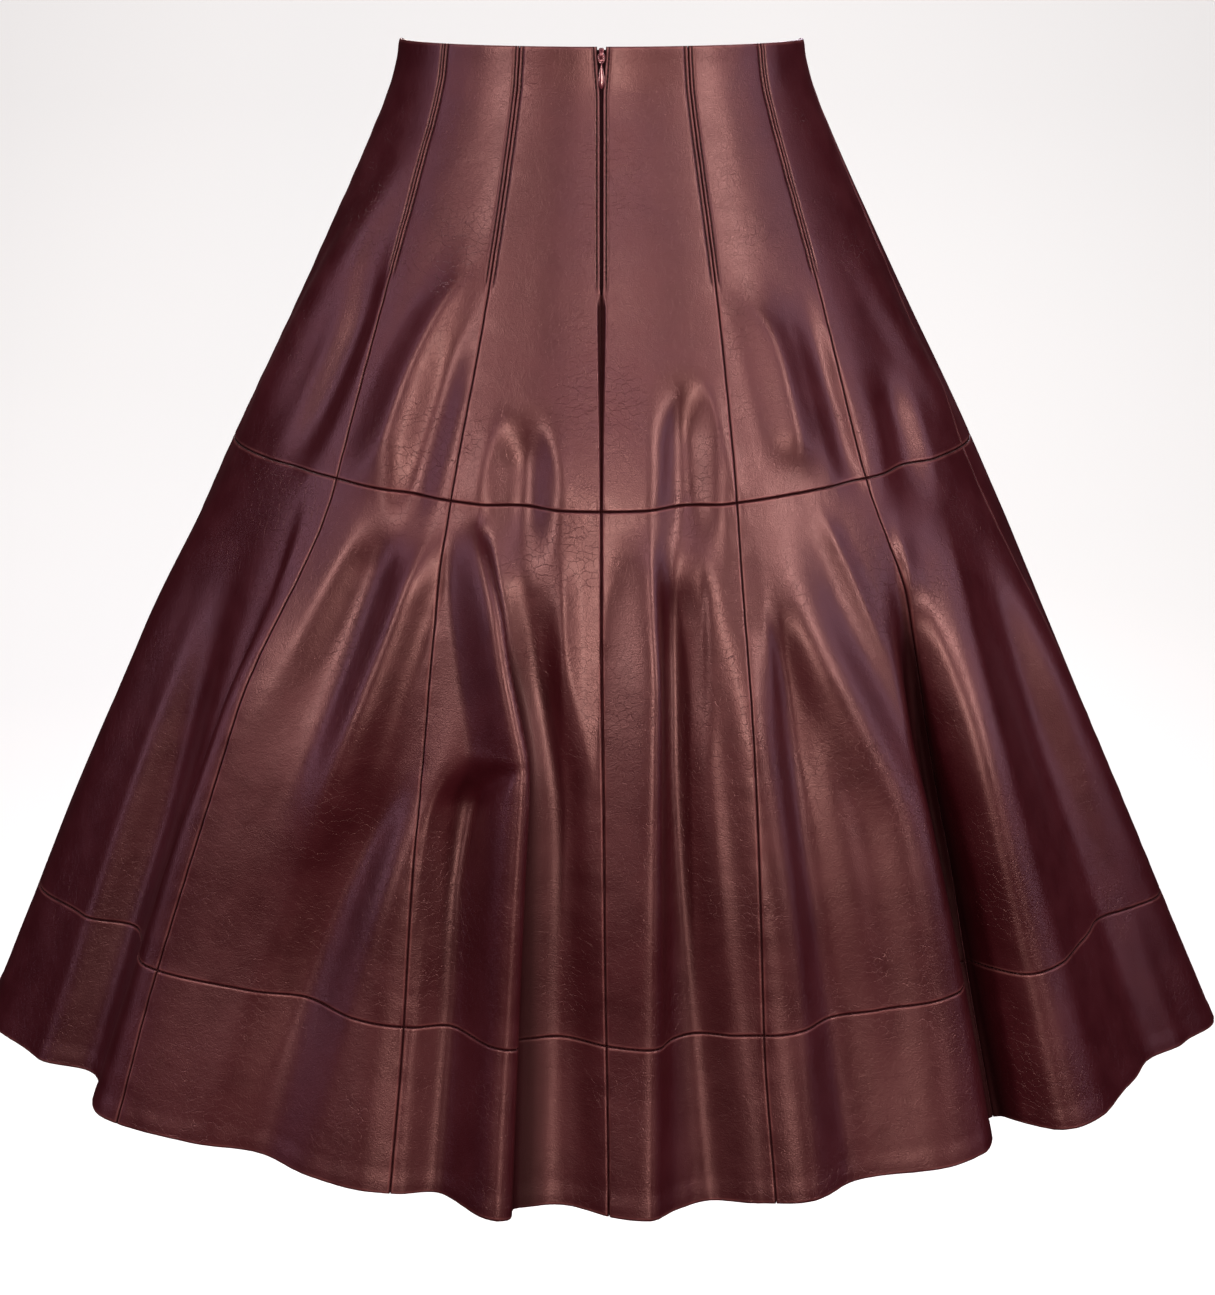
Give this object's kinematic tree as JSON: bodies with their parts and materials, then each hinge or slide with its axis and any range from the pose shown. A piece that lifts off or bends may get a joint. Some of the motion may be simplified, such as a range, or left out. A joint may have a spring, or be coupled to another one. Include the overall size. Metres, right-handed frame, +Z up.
{
  "type": "leather skirt",
  "caption": "Flared midi skirt in smooth dark red leather: fitted gored hip yoke, wide gored skirt tier, deep hem band and a centre back zip with a drop-shaped pull.",
  "frame": {"origin": "middle of the waist opening, level with the centre back of the waist edge", "axes": "+Z up; -Y towards the centre back, where the zip is; +Y towards the centre front; +X towards the wearer's right"},
  "size_m": [0.9212, 0.6218, 0.75],
  "materials": {
    "leather": "smooth oxblood leather with a soft sheen and a fine grain",
    "zip_tape": "woven tape dyed to match",
    "zip_coil": "nylon coil dyed to match",
    "zip_metal": "glossy lacquer dyed to match"
  },
  "bodies": {
    "skirt": {"yoke_back_right_inner": "leather", "yoke_back_right_mid": "leather", "yoke_back_right_side": "leather", "yoke_front_right_side": "leather", "yoke_front_right_mid": "leather", "yoke_front_right_inner": "leather", "yoke_front_left_inner": "leather", "yoke_front_left_mid": "leather", "yoke_front_left_side": "leather", "yoke_back_left_side": "leather", "yoke_back_left_mid": "leather", "yoke_back_left_inner": "leather", "skirt_back_right_inner": "leather", "skirt_back_right_mid": "leather", "skirt_back_right_side": "leather", "skirt_front_right_side": "leather", "skirt_front_right_mid": "leather", "skirt_front_right_inner": "leather", "skirt_front_left_inner": "leather", "skirt_front_left_mid": "leather", "skirt_front_left_side": "leather", "skirt_back_left_side": "leather", "skirt_back_left_mid": "leather", "skirt_back_left_inner": "leather", "hem_back_right_inner": "leather", "hem_back_right_mid": "leather", "hem_back_right_side": "leather", "hem_front_right_side": "leather", "hem_front_right_mid": "leather", "hem_front_right_inner": "leather", "hem_front_left_inner": "leather", "hem_front_left_mid": "leather", "hem_front_left_side": "leather", "hem_back_left_side": "leather", "hem_back_left_mid": "leather", "hem_back_left_inner": "leather", "zip_tape": "zip_tape", "zip_chain": "zip_coil", "zip_slider": "zip_metal"},
    "pull": {"zip_pull": "zip_metal"}
  },
  "joints": [
    {"name": "pull_hinge", "type": "hinge", "parent": "skirt", "child": "pull", "pos_m": [0, -0.09652, -0.00451], "axis": [-1, 0, 0], "range_deg": [0, 150]}
  ]
}
